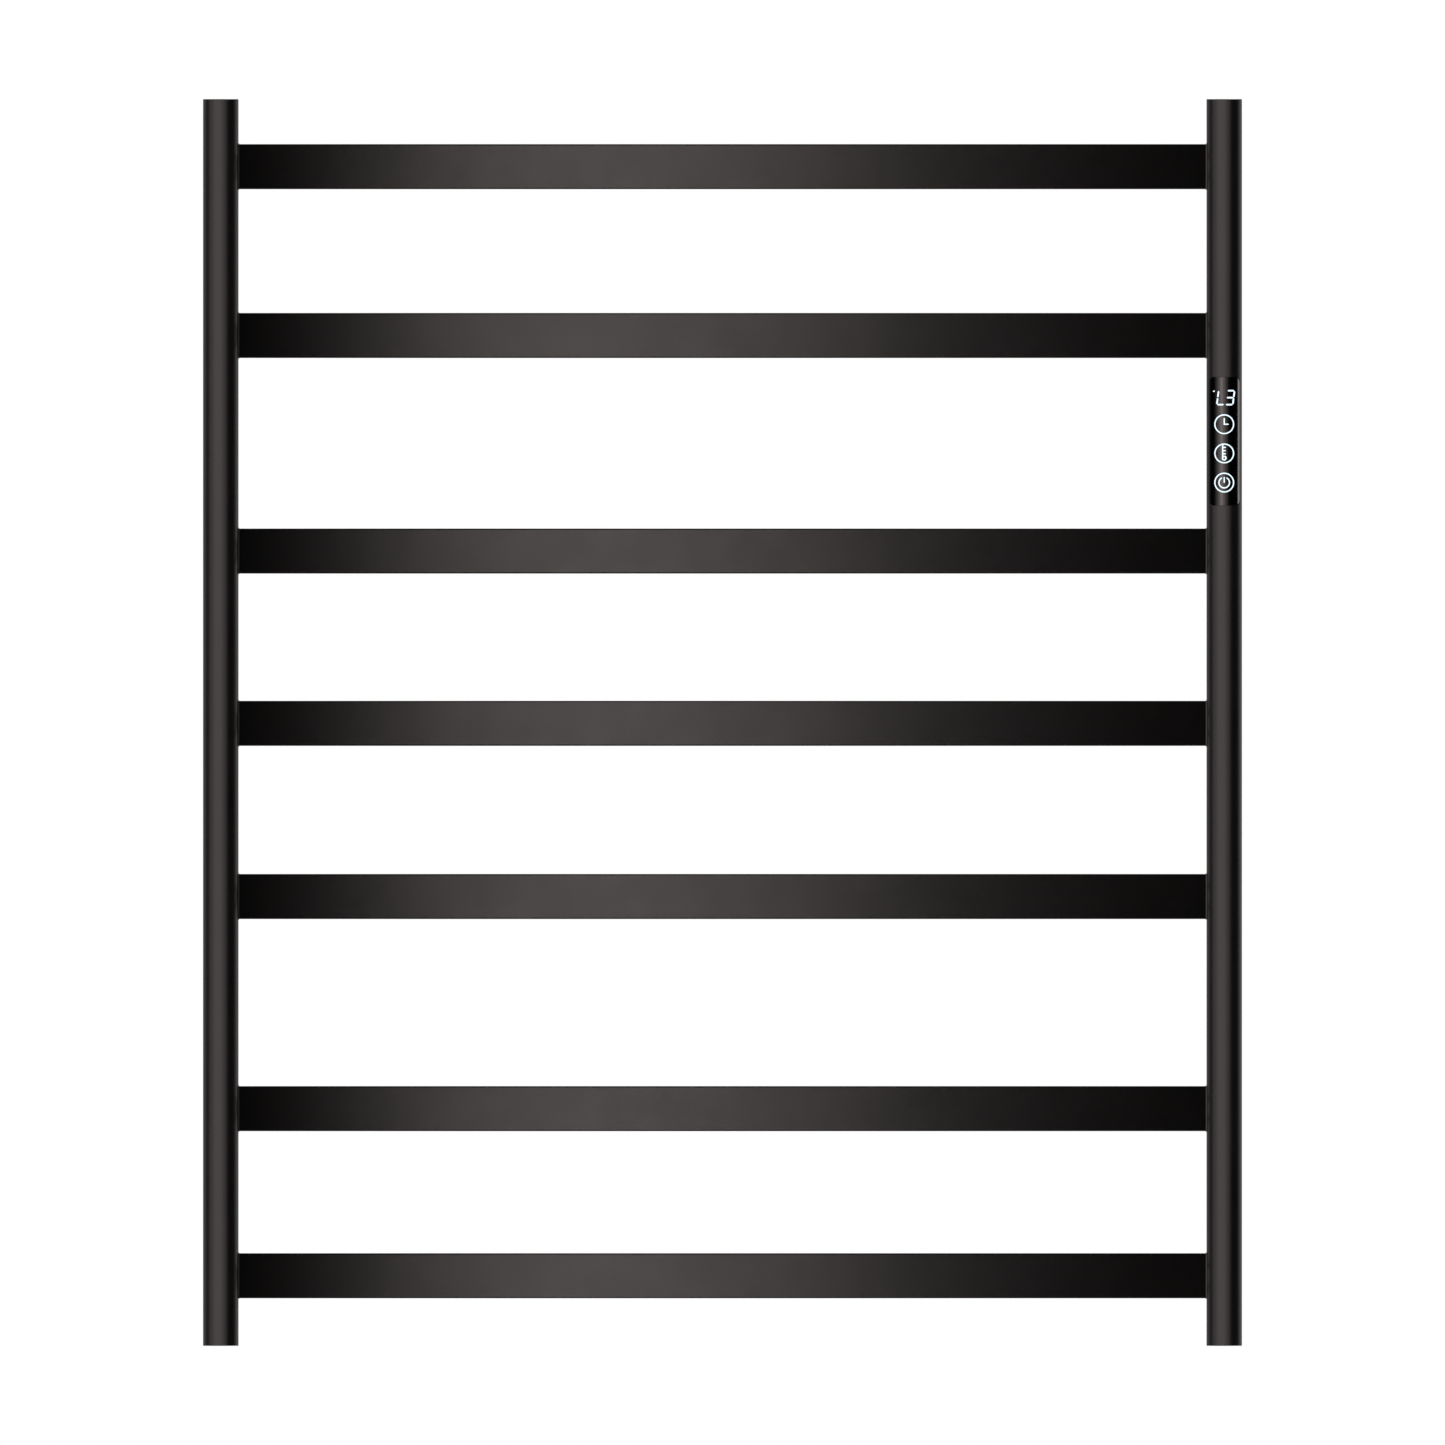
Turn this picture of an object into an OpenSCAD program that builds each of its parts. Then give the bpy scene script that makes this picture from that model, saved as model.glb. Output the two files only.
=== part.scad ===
// Electric towel warmer rack for a bathroom wall: two round posts carry seven flat hollow bars
// in groups of two, three and two. A heating cable runs through every bar from the right post,
// which also holds the touch controller. Four sleeves on the posts' backs push over stubs that
// are screwed to the wall, and a grub screw holds each one.
//
// Millimetres, +Z up, +X to the right when facing the rack. The wall is the plane y = 0 and the
// rack stands off it towards -Y. The origin is the middle of the four wall-screw holes.

/* [Rack] */
// Overall width, over both posts
rack_w = 600; // [480:10:900]
// Overall height, over the end caps
rack_h = 720; // [710:5:900]
// Distance from the wall to the centre line of the posts
stand_off = 75; // [70:5:95]

/* [Posts] */
// Outer diameter of a post
post_d = 20.5; // [20.5:0.5:22]
// Wall thickness of a post
post_wall = 1.5; // [1.3:0.1:1.5]
// Thickness of an end cap's visible disc
cap_disc = 1; // [0.8:0.1:2]
// Depth of an end cap's plug inside the post
cap_plug = 8; // [5:0.5:8]

/* [Bars] */
// Height of a bar's front face
bar_h = 26; // [24:0.5:28]
// Depth of a bar, front to back
bar_depth = 10; // [9.5:0.5:10.5]
// How far a bar's middle lies behind the posts' centre line
bar_setback = 2; // [0:0.5:2]
// Wall thickness of a bar
bar_wall = 1.2; // [1:0.1:1.2]
// Radius of a bar's long edges
bar_edge_r = 0.8; // [0.4:0.1:2]
// Height of each bar's centre line above the middle of the rack, top bar first
bar_levels = [321, 223.5, 99, -0.5, -100.5, -223, -319.5]; // [-321:0.5:321]

/* [Wall fixing] */
// Height of the fixings above and below the middle of the rack
fixing_z = 272; // [265:1:280]
// Diameter of a wall base's flange
flange_d = 20; // [18:0.5:20]
// Thickness of the flange
flange_t = 4; // [3:0.5:5]
// Diameter of the stub that the sleeve pushes over
stub_d = 13; // [12:0.5:13]
// Length of the stub in front of the flange
stub_l = 30; // [25:1:32]
// Diameter of the wall-screw hole
screw_hole_d = 5.2; // [4.2:0.1:5.5]
// Outer diameter of a sleeve
sleeve_d = 18; // [17:0.5:18]
// Diameter of a grub screw
grub_d = 4; // [3:0.5:4]

/* [Controller] */
// Height of the control panel's centre above the middle of the rack
panel_z = 162.4; // [160:0.1:164]
// Width of the panel's lens, seen from the front
lens_w = 17.6; // [16:0.1:17.6]
// Height of the lens
lens_h = 74; // [72:0.5:76]
// Corner radius of the lens
lens_corner_r = 3; // [2:0.5:4]

/* [Heating] */
// Diameter of the heating cable
cable_d = 3; // [2.5:0.1:3]
// Distance from a bar's centre line to each run of the cable
run_offset = 6; // [5.5:0.5:7]

/* [Hidden] */
$fn = 96;

LEFT = -1;
RIGHT = 1;
TOP = 1;
BOTTOM = -1;

coat_colour = [0.12, 0.115, 0.11];
steel_colour = [0.72, 0.72, 0.74];
brass_colour = [0.80, 0.66, 0.32];
copper_colour = [0.78, 0.45, 0.25];
black_plastic = [0.06, 0.06, 0.06];
grey_plastic = [0.55, 0.56, 0.58];
board_green = [0.08, 0.33, 0.18];
cable_red = [0.60, 0.16, 0.12];
brown = [0.35, 0.20, 0.12];
blue = [0.15, 0.30, 0.60];

fit_gap = 0.05;                     // between pieces that are welded, pressed or slid together
inner_gap = 0.1;                    // between loose pieces inside a post
cut = 1;                            // how far a cutting solid runs past the face it cuts

// Posts
post_x = (rack_w - post_d) / 2;
post_r = post_d / 2;
bore_r = post_r - post_wall;
tube_h = rack_h - 2 * cap_disc;
bar_y = -stand_off + bar_setback;
// A bar's end is cut square, just inside the post where its back wall comes through
bar_reach = sqrt(pow(bore_r, 2) - pow(bar_depth / 2 + bar_setback, 2)) - inner_gap;
bar_half = post_x - bar_reach;

// Fixings
sleeve_start = flange_t + 1;        // the sleeve stops just short of the flange
sleeve_bore_d = stub_d + 2 * fit_gap;
sleeve_bore_end = flange_t + stub_l + 8;    // leaves the stub's end free
grub_y = flange_t + stub_l / 2;
grub_recess = 0.15;                 // a grub screw ends this far inside the sleeve
grub_l = (sleeve_d - sleeve_bore_d) / 2 - grub_recess;
stub_bore_d = stub_d - 3;
edge_break = 0.6;

// Lens and what sits behind it; depths are from the post's centre line, towards the front
lens_seat = 3.5;                    // depth of the flat ledge that the window leaves in the post
gasket_t = 0.4;
lens_gap = 0.15;                    // seam round the lens
lens_proud = 0.1;                   // how far the lens stands out of the post
lens_bore_r = bore_r - 0.45;
lens_end_wall = 1.5;
behind_lens_r = lens_bore_r - inner_gap;
gasket_w = 1.2;
board_t = 1.2;
touch_board_w = 13;
touch_board_l = 68;
touch_board_y = lens_seat - inner_gap;      // front face of the touch board
led_y = touch_board_y + inner_gap;  // back of what is soldered on it
key_pitch = 16.85;
key_z = panel_z - 7;                // middle key; the others are one pitch above and below
ring_d = 11.5;
digits_z = panel_z + 25.2;
carrier_r = bore_r - 0.15;
carrier_l = 76;
carrier_back = 0.2;

// Power board, in the post between the third and the fourth bar
power_z = 49;
power_l = 62;
power_w = 14.6;
power_y = 1.6;                      // front face of the power board
sleeve_skin = 0.4;
lead_window_z = [37, 46];           // where the heater leads pass through the insulating sleeve
lead_window_w = 4;

// Heating cable: a riser to the top bar, a hairpin in every bar, and a riser back up
cable_y = bar_y;
riser_x = post_x + 4.6;
drop_x = post_x - 1.4;
riser_bend = 9;
drop_bend = 6;
hairpin_x = -bar_half + 20;
crimp_l = 12;
crimp_d = 3.8;
cutoff_l = 14;
upper_crimp_z = 50;
lower_crimp_z = 20;
lead_d = 1.8;
lead_lap = 3;                       // how far a lead lies on the power board
sensor_d = 2.4;
sensor_l = 8;
sensor_top = -2;
sensor_y = -stand_off - bore_r + sensor_d / 2 + 0.2;

// Mains side, at the foot of the right post
terminal_top = -310;
terminal_l = 22;
terminal_d = 6;
terminal_y = 3.9;                   // the block's middle, in front of the post's centre line
wire_pitch = 3.2;
earth_z = -294;
earth_screw_d = 3;
earth_lug_y = 6;
earth_lug_t = 0.8;
earth_tail_l = 7;                   // from the earth screw's axis to the end of the lug
grommet_z = -rack_h / 2 + 15;
flex_hole_d = 6.6;                  // clears a round three-core flex of 6.5 mm
grommet_d = 9.9;
grommet_flange_d = 11.6;
grommet_back = 12;                  // the grommet's two ends, behind the post's centre line
grommet_front = 6;
grommet_lip = [10.9, 0.6];          // diameter and thickness of its inner lip

// A rectangle with round corners, centred on the origin
module rounded_rect(w, h, r) {
    square([w - 2 * r, h], center = true);
    square([w, h - 2 * r], center = true);
    for (x = [-1, 1], y = [-1, 1])
        translate([x * (w / 2 - r), y * (h / 2 - r)]) circle(r = r);
}

function unit(v) = v / norm(v);

// Direction of a path at point i
function heading(path, i) =
    unit(path[min(i + 1, len(path) - 1)] - path[max(i - 1, 0)]);

// Points of an arc in the cable's upright plane, from angle a to angle b
function bend(x, z, r, a, b, steps = 3) = [
    for (i = [0:steps])
        let (angle = a + (b - a) * i / steps)
        [x + r * cos(angle), cable_y, z + r * sin(angle)]
];

// A round cord along a path; the path never runs parallel to side
module tube(path, d, side, sides = 8) {
    count = len(path);
    points = [
        for (i = [0:count - 1], k = [0:sides - 1])
            let (
                along = heading(path, i),
                u = unit(cross(along, side)),
                v = cross(along, u),
                angle = 360 * k / sides
            )
            path[i] + d / 2 * (cos(angle) * u + sin(angle) * v)
    ];
    walls = [
        for (i = [0:count - 2], k = [0:sides - 1])
            let (
                next = (k + 1) % sides,
                near = i * sides,
                far = near + sides
            )
            each [[near + k, far + k, far + next], [near + k, far + next, near + next]]
    ];
    first_end = [for (k = [0:sides - 1]) k];
    last_end = [for (k = [sides - 1:-1:0]) (count - 1) * sides + k];
    polyhedron(points, concat(walls, [first_end, last_end]));
}

// Moves children from a post's centre line to where that post stands
module at_post(side, z = 0) {
    translate([side * post_x, -stand_off, z]) children();
}

// A bar's outline, extruded along X
module bar_prism(half_length, grow) {
    r = max(bar_edge_r + grow, 0.2);
    translate([-half_length, bar_y, 0]) rotate([90, 0, 90])
        linear_extrude(height = 2 * half_length)
            rounded_rect(bar_depth + 2 * grow, bar_h + 2 * grow, r);
}

// A rounded rectangle seen from the front, extruded towards the front from depth near to far
module panel_prism(w, h, r, near, far) {
    at_post(RIGHT, panel_z) translate([0, -near, 0]) rotate([90, 0, 0])
        linear_extrude(height = far - near) rounded_rect(w, h, r);
}

// A box behind the panel: width, depths from the post's centre line, and heights
module post_box(w, near, far, low, high) {
    at_post(RIGHT, low) translate([-w / 2, -far, 0]) cube([w, far - near, high - low]);
}

// A shape turned about an axis that points away from the wall
module wall_turned(side, level) {
    translate([side * post_x, 0, level * fixing_z]) rotate([90, 0, 0])
        rotate_extrude() children();
}

module post(side) {
    color(coat_colour) difference() {
        at_post(side, -tube_h / 2) cylinder(h = tube_h, r = post_r);
        at_post(side, -tube_h / 2 - cut) cylinder(h = tube_h + 2 * cut, r = bore_r);
        for (z = bar_levels) translate([0, 0, z]) bar_prism(post_x, fit_gap);
        if (side == RIGHT) right_post_openings();
    }
}

// The lens window at the front, and the flex and earth holes at the back
module right_post_openings() {
    panel_prism(lens_w + 2 * lens_gap, lens_h + 2 * lens_gap, lens_corner_r + lens_gap,
                lens_seat, post_d);
    at_post(RIGHT, grommet_z) rotate([-90, 0, 0]) cylinder(h = post_d, d = grommet_d + 2 * fit_gap);
    at_post(RIGHT, earth_z) rotate([-90, 0, 0])
        cylinder(h = post_d, d = earth_screw_d + 2 * fit_gap);
}

module bar(z) {
    color(coat_colour) difference() {
        translate([0, 0, z]) bar_prism(bar_half, 0);
        translate([0, 0, z]) bar_prism(bar_half + cut, -bar_wall);
    }
}

// A plug with a flat disc that covers the end of the tube
module cap(side, level) {
    plug_r = bore_r - fit_gap;
    at_post(side) mirror([0, 0, level == TOP ? 0 : 1]) translate([0, 0, rack_h / 2])
        color(coat_colour) rotate_extrude() polygon([
            [0, 0],
            [post_r - 0.3, 0],
            [post_r, -0.3],
            [post_r, -cap_disc],
            [plug_r, -cap_disc],
            [plug_r, -cap_disc - cap_plug + edge_break],
            [plug_r - edge_break, -cap_disc - cap_plug],
            [0, -cap_disc - cap_plug]
        ]);
}

// Welded to the back of a post, open towards the wall
module sleeve(side, level) {
    color(coat_colour) difference() {
        wall_turned(side, level) polygon([
            [sleeve_bore_d / 2 + edge_break, sleeve_start],
            [sleeve_d / 2 - edge_break, sleeve_start],
            [sleeve_d / 2, sleeve_start + edge_break],
            [sleeve_d / 2, stand_off],
            [0, stand_off],
            [0, sleeve_bore_end],
            [sleeve_bore_d / 2, sleeve_bore_end],
            [sleeve_bore_d / 2, sleeve_start + edge_break]
        ]);
        at_post(side, level * fixing_z - sleeve_d) cylinder(h = 2 * sleeve_d, r = post_r + fit_gap);
        translate([side * post_x, -grub_y, level * fixing_z - sleeve_d])
            cylinder(h = sleeve_d, d = grub_d + 2 * fit_gap);
    }
}

// Screwed to the wall: a flange with a hollow stub, whose floor takes the wall screw
module base(side, level) {
    color(steel_colour) wall_turned(side, level) polygon([
        [screw_hole_d / 2, 0],
        [flange_d / 2, 0],
        [flange_d / 2, flange_t - edge_break],
        [flange_d / 2 - edge_break, flange_t],
        [stub_d / 2, flange_t],
        [stub_d / 2, flange_t + stub_l - edge_break],
        [stub_d / 2 - edge_break, flange_t + stub_l],
        [stub_bore_d / 2, flange_t + stub_l],
        [stub_bore_d / 2, flange_t],
        [screw_hole_d / 2, flange_t]
    ]);
}

// One under each sleeve, with a hexagon socket
module grub_screws() {
    socket_d = 2.3;
    color(steel_colour)
        for (side = [LEFT, RIGHT], level = [BOTTOM, TOP])
            translate([side * post_x, -grub_y, level * fixing_z - sleeve_d / 2 + fit_gap])
                difference() {
                    cylinder(h = grub_l, d = grub_d);
                    translate([0, 0, -cut]) cylinder(h = cut + grub_l / 2, d = socket_d, $fn = 6);
                }
}

// Curved glossy window that carries on the post's own round surface
module control_lens() {
    seat = lens_seat + gasket_t;
    color(black_plastic) difference() {
        intersection() {
            at_post(RIGHT, panel_z - lens_h) cylinder(h = 2 * lens_h, r = post_r + lens_proud);
            panel_prism(lens_w, lens_h, lens_corner_r, seat, post_d);
        }
        at_post(RIGHT, panel_z - lens_h / 2 + lens_end_wall)
            cylinder(h = lens_h - 2 * lens_end_wall, r = lens_bore_r);
    }
}

// Flat sealing frame between the lens and its ledge
module lens_gasket() {
    outer_w = lens_w - 0.3;
    outer_h = lens_h - 0.3;
    color(grey_plastic) difference() {
        panel_prism(outer_w, outer_h, lens_corner_r, lens_seat, lens_seat + gasket_t);
        panel_prism(outer_w - 2 * gasket_w, outer_h - 2 * gasket_w, lens_corner_r - gasket_w,
                    lens_seat - cut, lens_seat + gasket_t + cut);
    }
}

// Keeps children inside the round space behind the lens
module behind_lens() {
    intersection() {
        at_post(RIGHT, panel_z - lens_h / 2) cylinder(h = lens_h, r = behind_lens_r);
        children();
    }
}

// Two-digit display, its light guide rounded to the lens
module display_module() {
    w = 12.6;
    h = 13;
    color(black_plastic) behind_lens()
        post_box(w, led_y, post_r, digits_z - h / 2, digits_z + h / 2);
}

// One light-emitting diode behind each key's symbol
module icon_leds() {
    led = [3, 1.2, 3.4];
    color("white")
        for (i = [-1:1])
            post_box(led[0], led_y, led_y + led[1],
                     key_z + i * key_pitch - led[2] / 2, key_z + i * key_pitch + led[2] / 2);
}

// Sensing electrodes that press on the back of the lens round each symbol
module touch_rings() {
    wall = 1.4;
    color(copper_colour)
        for (i = [-1:1])
            behind_lens() difference() {
                at_post(RIGHT, key_z + i * key_pitch) translate([0, -led_y, 0])
                    rotate([90, 0, 0]) cylinder(h = post_r, d = ring_d);
                at_post(RIGHT, key_z + i * key_pitch) rotate([90, 0, 0])
                    cylinder(h = post_d, d = ring_d - 2 * wall);
            }
}

module touch_board() {
    color(board_green)
        post_box(touch_board_w, touch_board_y - board_t, touch_board_y,
                 panel_z - touch_board_l / 2, panel_z + touch_board_l / 2);
}

// Tray with two side rails that holds the touch board in the post
module controller_carrier() {
    floor_y = touch_board_y - board_t - inner_gap;
    low = panel_z - carrier_l / 2;
    color(grey_plastic) difference() {
        intersection() {
            at_post(RIGHT, low) cylinder(h = carrier_l, r = carrier_r);
            post_box(post_d, carrier_back, touch_board_y, low - cut, low + carrier_l + cut);
        }
        post_box(touch_board_w + 2 * inner_gap, floor_y, post_r, low - cut, low + carrier_l + cut);
    }
}

// Flat lead between the two boards; it steps forward past the third bar
module ribbon_lead() {
    w = 5;
    t = 0.6;
    lap = 6;
    low = power_z + power_l / 2 - lap;
    high = panel_z - touch_board_l / 2 - inner_gap;
    back = power_y + inner_gap;
    front = touch_board_y - board_t / 2 - t / 2;
    step = [low + 10, low + 26];
    color(grey_plastic) at_post(RIGHT) translate([-w / 2, 0, 0]) rotate([90, 0, 90])
        linear_extrude(height = w) polygon([
            [-back, low],
            [-back, step[0]],
            [-front, step[1]],
            [-front, high],
            [-front - t, high],
            [-front - t, step[1]],
            [-back - t, step[0]],
            [-back - t, low]
        ]);
}

module power_board() {
    color(board_green)
        post_box(power_w, power_y - board_t, power_y, power_z - power_l / 2, power_z + power_l / 2);
}

// Relay, capacitor and transformer, from the bottom up
module power_components() {
    seat = power_y + inner_gap;
    relay = [9.4, 4.8, 20];
    capacitor_d = 6;
    capacitor_l = 12;
    transformer = [8, 4.5, 10];
    relay_z = power_z - power_l / 2 + 4;
    capacitor_z = relay_z + relay[2] + 3;
    transformer_z = capacitor_z + capacitor_l + 3;
    color(black_plastic)
        post_box(relay[0], seat, seat + relay[1], relay_z, relay_z + relay[2]);
    color(grey_plastic)
        at_post(RIGHT, capacitor_z) translate([0, -seat - capacitor_d / 2, 0])
            cylinder(h = capacitor_l, d = capacitor_d);
    color(brass_colour)
        post_box(transformer[0], seat, seat + transformer[1],
                 transformer_z, transformer_z + transformer[2]);
}

// D-shaped tube round the power board, with a window at the back for the heater leads
module insulating_sleeve() {
    overhang = 2;
    low = power_z - power_l / 2 - overhang;
    length = power_l + 2 * overhang;
    color([0.85, 0.82, 0.70]) difference() {
        intersection() {
            at_post(RIGHT, low) cylinder(h = length, r = carrier_r);
            post_box(post_d, 0, post_r, low - cut, low + length + cut);
        }
        intersection() {
            at_post(RIGHT, low - cut) cylinder(h = length + 2 * cut, r = carrier_r - sleeve_skin);
            post_box(post_d, sleeve_skin, post_r, low - 2 * cut, low + length + 2 * cut);
        }
        translate([riser_x - lead_window_w / 2, -stand_off - sleeve_skin - cut / 4,
                   lead_window_z[0]])
            cube([lead_window_w, sleeve_skin + cut / 2, lead_window_z[1] - lead_window_z[0]]);
    }
}

// The cable's way into bar n: down the drop from the bar above, or up the riser to the top bar
function way_in(n) =
    let (z = bar_levels[n] + run_offset)
    n == 0
        ? bend(riser_x - riser_bend, z - riser_bend, riser_bend, 0, 90)
        : bend(drop_x - drop_bend, z + drop_bend, drop_bend, 0, -90);

// Its way out of bar n: down the drop to the next bar, or from the last bar into the riser
function way_out(n) =
    let (z = bar_levels[n] - run_offset)
    n == len(bar_levels) - 1
        ? bend(riser_x - riser_bend, z + riser_bend, riser_bend, -90, 0)
        : bend(drop_x - drop_bend, z - drop_bend, drop_bend, 90, 0);

function hairpin(n) = bend(hairpin_x, bar_levels[n], run_offset, 90, 270, 6);

// One continuous cable, with a hairpin in every bar
module heating_cable() {
    bars = [for (n = [0:len(bar_levels) - 1]) each concat(way_in(n), hairpin(n), way_out(n))];
    upper_end = [riser_x, cable_y, upper_crimp_z + crimp_l + cutoff_l];
    lower_end = [riser_x, cable_y, lower_crimp_z];
    color(cable_red) tube(concat([upper_end], bars, [lower_end]), cable_d, [0, 1, 0]);
}

// A round piece in line with the riser
module on_riser(z, length, d) {
    translate([riser_x, cable_y, z]) cylinder(h = length, d = d);
}

module thermal_cutoff() {
    color(steel_colour) on_riser(upper_crimp_z + crimp_l, cutoff_l, 3.6);
}

module splice_crimps() {
    color(copper_colour)
        for (z = [lower_crimp_z, upper_crimp_z]) on_riser(z, crimp_l, crimp_d);
}

// From the two crimps to the back of the power board
module heater_leads() {
    board_back = -stand_off - power_y + board_t + 0.05;
    for (end = [[lower_crimp_z + crimp_l, 1], [upper_crimp_z, -1]])
        color(cable_red) tube([
            [riser_x, cable_y, end[0]],
            [riser_x, cable_y, end[0] + end[1] * 3.6],
            [riser_x, cable_y - 0.5, end[0] + end[1] * 5.4],
            [riser_x, cable_y - 1.4, end[0] + end[1] * 6.4],
            [riser_x, board_back, end[0] + end[1] * 6.4]
        ], lead_d, [1, 0, 0]);
}

// Bead that reads the post's temperature from its front wall
module temperature_sensor() {
    color(black_plastic) translate([post_x, sensor_y, sensor_top - sensor_l])
        cylinder(h = sensor_l, d = sensor_d);
}

module sensor_lead() {
    d = 1;
    board_y = -stand_off - power_y - d / 2 - inner_gap;
    color(grey_plastic) tube([
        [post_x, sensor_y, sensor_top + inner_gap],
        [post_x, sensor_y, 4],
        [post_x, (sensor_y + board_y) / 2, 9],
        [post_x, board_y, 14],
        [post_x, board_y, power_z - power_l / 2 + lead_lap]
    ], d, [1, 0, 0]);
}

// Three ways, with their wire holes at the bottom
module terminal_block() {
    w = 2 * (bar_reach - inner_gap);
    hole_d = 2.4;
    hole_l = 8;
    low = terminal_top - terminal_l;
    color(grey_plastic) difference() {
        post_box(w, terminal_y - terminal_d / 2, terminal_y + terminal_d / 2, low, terminal_top);
        for (way = [-1:1])
            at_post(RIGHT, low - cut) translate([way * wire_pitch, -terminal_y, 0])
                cylinder(h = hole_l + cut, d = hole_d);
    }
}

// Live and neutral, from the terminal block up to the power board
module mains_leads() {
    board_y = -stand_off - power_y - lead_d / 2 - inner_gap;
    run_y = -stand_off - terminal_y;
    colours = [brown, blue];
    for (n = [0, 1])
        let (x = post_x + (2 * n - 1) * wire_pitch)
        color(colours[n]) tube([
            [x, run_y, terminal_top + inner_gap],
            [x, run_y, 4],
            [x, (run_y + board_y) / 2, 9],
            [x, board_y, 14],
            [x, board_y, power_z - power_l / 2 + lead_lap]
        ], lead_d, [1, 0, 0]);
}

// Pan-head screw through the back of the post
module earth_screw() {
    head_d = 5.6;
    head_t = 1.8;
    slot_w = 0.7;
    slot_l = 3.4;
    tip = earth_lug_y - 0.4;
    color(brass_colour) difference() {
        union() {
            at_post(RIGHT, earth_z) translate([0, tip, 0]) rotate([-90, 0, 0])
                cylinder(h = post_r + head_t / 2 - tip, d = earth_screw_d);
            at_post(RIGHT, earth_z) translate([0, post_r + fit_gap, 0]) rotate([-90, 0, 0])
                cylinder(h = head_t, d = head_d);
        }
        for (turn = [0, 90])
            at_post(RIGHT, earth_z) translate([0, post_r + head_t, 0]) rotate([0, turn, 0])
                cube([slot_l, head_t, slot_w], center = true);
    }
}

// Ring terminal on the screw, inside the post
module earth_lug() {
    ring_d = 6.2;
    tail_w = 2.2;
    color(brass_colour) difference() {
        union() {
            at_post(RIGHT, earth_z) translate([0, earth_lug_y, 0]) rotate([-90, 0, 0])
                cylinder(h = earth_lug_t, d = ring_d);
            at_post(RIGHT, earth_z - earth_tail_l) translate([-tail_w / 2, earth_lug_y, 0])
                cube([tail_w, earth_lug_t, earth_tail_l - earth_screw_d / 3]);
        }
        at_post(RIGHT, earth_z) rotate([-90, 0, 0])
            cylinder(h = post_r, d = earth_screw_d + 2 * fit_gap);
    }
}

// From the lug, between the two runs of the heating cable, to the terminal block
module earth_lead() {
    d = 1.4;
    start_y = earth_lug_y + earth_lug_t / 2;
    start_z = earth_z - earth_tail_l - inner_gap;
    color([0.45, 0.60, 0.15]) at_post(RIGHT) tube([
        [0, start_y, start_z],
        [0, start_y, start_z - 1.3],
        [0.9, 5, start_z - 2.9],
        [1.6, 2.4, start_z - 3.9],
        [1.6, -1, start_z - 4.5],
        [0.9, -3.2, start_z - 5.5],
        [0, -terminal_y, terminal_top + 2],
        [0, -terminal_y, terminal_top + inner_gap]
    ], d, [1, 0, 0]);
}

// Rubber bush for the mains flex, in the back of the right post near its foot
module cable_grommet() {
    color(black_plastic) at_post(RIGHT, grommet_z) difference() {
        union() {
            difference() {
                rotate([-90, 0, 0]) cylinder(h = grommet_back, d = grommet_flange_d);
                translate([0, 0, -post_r]) cylinder(h = post_d, r = post_r + fit_gap);
            }
            translate([0, grommet_front, 0]) rotate([-90, 0, 0])
                cylinder(h = grommet_back - grommet_front - grommet_lip[1], d = grommet_d);
            translate([0, grommet_front, 0]) rotate([-90, 0, 0])
                cylinder(h = grommet_lip[1], d = grommet_lip[0]);
        }
        rotate([-90, 0, 0]) cylinder(h = post_d, d = flex_hole_d);
    }
}

post(LEFT);  // left_post
post(RIGHT);  // right_post
for (n = [0:len(bar_levels) - 1])
    bar(bar_levels[n]);
cap(LEFT, TOP);  // left_top_cap
cap(LEFT, BOTTOM);  // left_bottom_cap
cap(RIGHT, TOP);  // right_top_cap
cap(RIGHT, BOTTOM);  // right_bottom_cap
sleeve(LEFT, TOP);  // left_top_sleeve
sleeve(LEFT, BOTTOM);  // left_bottom_sleeve
sleeve(RIGHT, TOP);  // right_top_sleeve
sleeve(RIGHT, BOTTOM);  // right_bottom_sleeve
base(LEFT, TOP);  // left_top_base
base(LEFT, BOTTOM);  // left_bottom_base
base(RIGHT, TOP);  // right_top_base
base(RIGHT, BOTTOM);  // right_bottom_base
grub_screws();
control_lens();
lens_gasket();
display_module();
icon_leds();
touch_rings();
touch_board();
controller_carrier();
ribbon_lead();
power_board();
power_components();
insulating_sleeve();
heating_cable();
thermal_cutoff();
splice_crimps();
heater_leads();
temperature_sensor();
sensor_lead();
terminal_block();
mains_leads();
earth_screw();
earth_lug();
earth_lead();
cable_grommet();
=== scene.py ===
"""Looks of an electric towel warmer rack: satin black coated steel with a glossy touch panel.

Metres, +Z up. The wall is the plane y = 0, and the rack stands off it towards -Y.
"""

import math

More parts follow.
